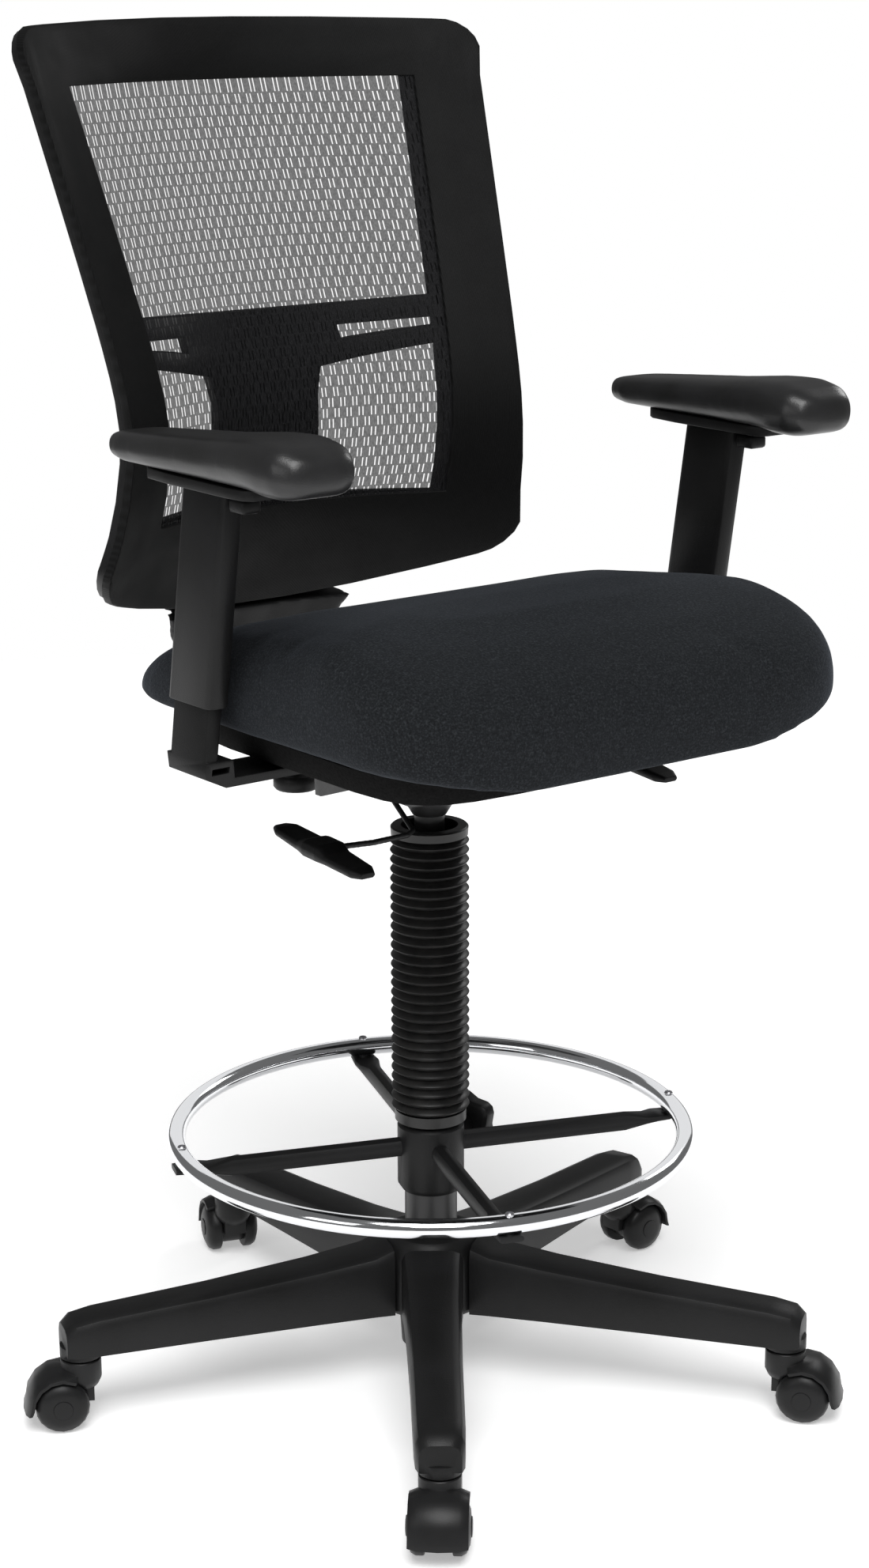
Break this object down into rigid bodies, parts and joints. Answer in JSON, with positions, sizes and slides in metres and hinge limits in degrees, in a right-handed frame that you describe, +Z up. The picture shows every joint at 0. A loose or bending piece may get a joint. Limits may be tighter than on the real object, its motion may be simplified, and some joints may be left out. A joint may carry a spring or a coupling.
{
  "type": "drafting chair",
  "caption": "Tall swivel drafting chair with padded seat, see-through mesh back, height-adjustable armrests, foot ring on a gas-lift column and five-arm caster base",
  "frame": {"origin": "middle of the chair's footprint on the floor", "axes": "+Z up along the gas-lift column, +Y to the back of the chair, so a person sits facing -Y, and +X to the sitter's left"},
  "size_m": [0.7651, 0.7338, 1.2619],
  "materials": {
    "black_nylon": "satin moulded nylon with a fine spark-eroded texture",
    "wheel_plastic": "smooth satin black",
    "black_steel": "satin black powder coat",
    "cast_mechanism": "die-cast aluminium under a satin black coat",
    "bright_steel": "plain bright steel",
    "ring_chrome": "polished chrome plate",
    "bellows_rubber": "matt ribbed black rubber",
    "seat_cloth": "charcoal woven upholstery cloth over moulded foam",
    "back_mesh_cloth": "see-through elastomeric mesh with a fine vertical weave",
    "pad_skin": "soft-touch black polyurethane skin"
  },
  "bodies": {
    "base": {"star_base": "black_nylon", "lift_outer_tube": "black_steel"},
    "caster_1_swivel": {"caster_1_housing": "wheel_plastic", "caster_1_stem": "bright_steel"},
    "caster_1_wheels": {"caster_1_axle": "bright_steel", "caster_1_wheel_right": "wheel_plastic", "caster_1_wheel_left": "wheel_plastic"},
    "caster_2_swivel": {"caster_2_housing": "wheel_plastic", "caster_2_stem": "bright_steel"},
    "caster_2_wheels": {"caster_2_axle": "bright_steel", "caster_2_wheel_right": "wheel_plastic", "caster_2_wheel_left": "wheel_plastic"},
    "caster_3_swivel": {"caster_3_housing": "wheel_plastic", "caster_3_stem": "bright_steel"},
    "caster_3_wheels": {"caster_3_axle": "bright_steel", "caster_3_wheel_right": "wheel_plastic", "caster_3_wheel_left": "wheel_plastic"},
    "caster_4_swivel": {"caster_4_housing": "wheel_plastic", "caster_4_stem": "bright_steel"},
    "caster_4_wheels": {"caster_4_axle": "bright_steel", "caster_4_wheel_right": "wheel_plastic", "caster_4_wheel_left": "wheel_plastic"},
    "caster_5_swivel": {"caster_5_housing": "wheel_plastic", "caster_5_stem": "bright_steel"},
    "caster_5_wheels": {"caster_5_axle": "bright_steel", "caster_5_wheel_right": "wheel_plastic", "caster_5_wheel_left": "wheel_plastic"},
    "lift_rod": {"lift_piston_rod": "bright_steel", "lift_thrust_bearing": "bright_steel", "lift_bellows": "bellows_rubber"},
    "seat_carriage": {"lift_cylinder": "black_steel", "mechanism_housing": "cast_mechanism", "tilt_axle": "bright_steel", "seat_pan": "black_nylon", "seat_cushion": "seat_cloth", "arm_right_bracket": "black_nylon", "arm_left_bracket": "black_nylon"},
    "foot_rest": {"foot_ring": "ring_chrome", "foot_ring_spider": "black_nylon"},
    "foot_rest_clamp": {"foot_ring_knob": "black_nylon"},
    "back_tilt": {"back_carrier": "cast_mechanism"},
    "back_depth_clamp": {"back_depth_knob": "black_nylon"},
    "backrest": {"back_bar": "black_steel", "back_bar_cover": "black_nylon", "back_front_frame": "black_nylon", "back_mesh": "back_mesh_cloth", "back_rear_frame": "black_nylon"},
    "height_paddle": {"height_lever": "black_nylon"},
    "tilt_paddle": {"tilt_lever": "black_nylon"},
    "tension_dial": {"tension_knob": "black_nylon"},
    "arm_right_rest": {"arm_right_sleeve": "black_nylon", "arm_right_pad_plate": "black_nylon", "arm_right_pad": "pad_skin"},
    "arm_right_release": {"arm_right_button": "black_nylon"},
    "arm_left_rest": {"arm_left_sleeve": "black_nylon", "arm_left_pad_plate": "black_nylon", "arm_left_pad": "pad_skin"},
    "arm_left_release": {"arm_left_button": "black_nylon"}
  },
  "joints": [
    {"name": "caster_1_steer", "type": "hinge", "parent": "base", "child": "caster_1_swivel", "pos_m": [0, 0.314, 0.09], "axis": [0, 0, 1], "continuous": true},
    {"name": "caster_1_roll", "type": "hinge", "parent": "caster_1_swivel", "child": "caster_1_wheels", "pos_m": [0.0065, 0.33185, 0.025], "axis": [-0.9397, 0.342, 0], "continuous": true},
    {"name": "caster_2_steer", "type": "hinge", "parent": "base", "child": "caster_2_swivel", "pos_m": [-0.32716, 0.0763, 0.09], "axis": [0, 0, 1], "continuous": true},
    {"name": "caster_2_roll", "type": "hinge", "parent": "caster_2_swivel", "child": "caster_2_wheels", "pos_m": [-0.34409, 0.08493, 0.025], "axis": [-0.454, -0.891, 0], "continuous": true},
    {"name": "caster_3_steer", "type": "hinge", "parent": "base", "child": "caster_3_swivel", "pos_m": [-0.2022, -0.3083, 0.09], "axis": [0, 0, 1], "continuous": true},
    {"name": "caster_3_roll", "type": "hinge", "parent": "caster_3_swivel", "child": "caster_3_wheels", "pos_m": [-0.21441, -0.32285, 0.025], "axis": [0.766, -0.6428, 0], "continuous": true},
    {"name": "caster_4_steer", "type": "hinge", "parent": "base", "child": "caster_4_swivel", "pos_m": [0.2022, -0.3083, 0.09], "axis": [0, 0, 1], "continuous": true},
    {"name": "caster_4_roll", "type": "hinge", "parent": "caster_4_swivel", "child": "caster_4_wheels", "pos_m": [0.21416, -0.32307, 0.025], "axis": [0.7771, 0.6293, 0], "continuous": true},
    {"name": "caster_5_steer", "type": "hinge", "parent": "base", "child": "caster_5_swivel", "pos_m": [0.32716, 0.0763, 0.09], "axis": [0, 0, 1], "continuous": true},
    {"name": "caster_5_roll", "type": "hinge", "parent": "caster_5_swivel", "child": "caster_5_wheels", "pos_m": [0.34611, 0.07763, 0.025], "axis": [-0.0698, 0.9976, 0], "continuous": true},
    {"name": "seat_swivel", "type": "hinge", "parent": "base", "child": "lift_rod", "pos_m": [0, -0.03, 0.05], "axis": [0, 0, 1], "continuous": true},
    {"name": "seat_height", "type": "slide", "parent": "lift_rod", "child": "seat_carriage", "axis": [0, 0, 1], "range_m": [-0.13, 0.125], "deforming": ["lift_bellows"]},
    {"name": "foot_ring_height", "type": "slide", "parent": "base", "child": "foot_rest", "axis": [0, 0, 1], "range_m": [-0.04, 0]},
    {"name": "foot_ring_clamp_turn", "type": "hinge", "parent": "foot_rest", "child": "foot_rest_clamp", "pos_m": [0.05706, -0.01146, 0.233], "axis": [0.9511, 0.309, 0], "range_deg": [0, 360]},
    {"name": "back_recline", "type": "hinge", "parent": "seat_carriage", "child": "back_tilt", "pos_m": [0, -0.043, 0.6125], "axis": [-1, 0, 0], "range_deg": [0, 12]},
    {"name": "back_depth_clamp_turn", "type": "hinge", "parent": "back_tilt", "child": "back_depth_clamp", "pos_m": [0, 0.185, 0.55], "axis": [0, 0, 1], "range_deg": [0, 360]},
    {"name": "back_depth", "type": "slide", "parent": "back_tilt", "child": "backrest", "axis": [0, 1, 0], "range_m": [0, 0.04]},
    {"name": "height_paddle_pull", "type": "hinge", "parent": "seat_carriage", "child": "height_paddle", "pos_m": [-0.025, -0.03, 0.574], "axis": [0, 1, 0], "range_deg": [0, 8], "stiffness_Nm_per_rad": 3, "springref_deg": -5.73},
    {"name": "tilt_paddle_pull", "type": "hinge", "parent": "seat_carriage", "child": "tilt_paddle", "pos_m": [0.0555, -0.1, 0.606], "axis": [0, -1, 0], "range_deg": [0, 6], "stiffness_Nm_per_rad": 3, "springref_deg": -5.73},
    {"name": "tension_dial_turn", "type": "hinge", "parent": "seat_carriage", "child": "tension_dial", "pos_m": [0, -0.112, 0.6], "axis": [0, 0, 1], "range_deg": [0, 360]},
    {"name": "arm_right_height", "type": "slide", "parent": "seat_carriage", "child": "arm_right_rest", "axis": [0, -0.1627, 0.9867], "range_m": [0, 0.07]},
    {"name": "arm_right_button_press", "type": "slide", "parent": "arm_right_rest", "child": "arm_right_release", "axis": [0, 0, 1], "range_m": [0, 0.003], "stiffness_N_per_m": 500, "springref_m": -0.002},
    {"name": "arm_left_height", "type": "slide", "parent": "seat_carriage", "child": "arm_left_rest", "axis": [0, -0.1627, 0.9867], "range_m": [0, 0.07]},
    {"name": "arm_left_button_press", "type": "slide", "parent": "arm_left_rest", "child": "arm_left_release", "axis": [0, 0, 1], "range_m": [0, 0.003], "stiffness_N_per_m": 500, "springref_m": -0.002}
  ]
}
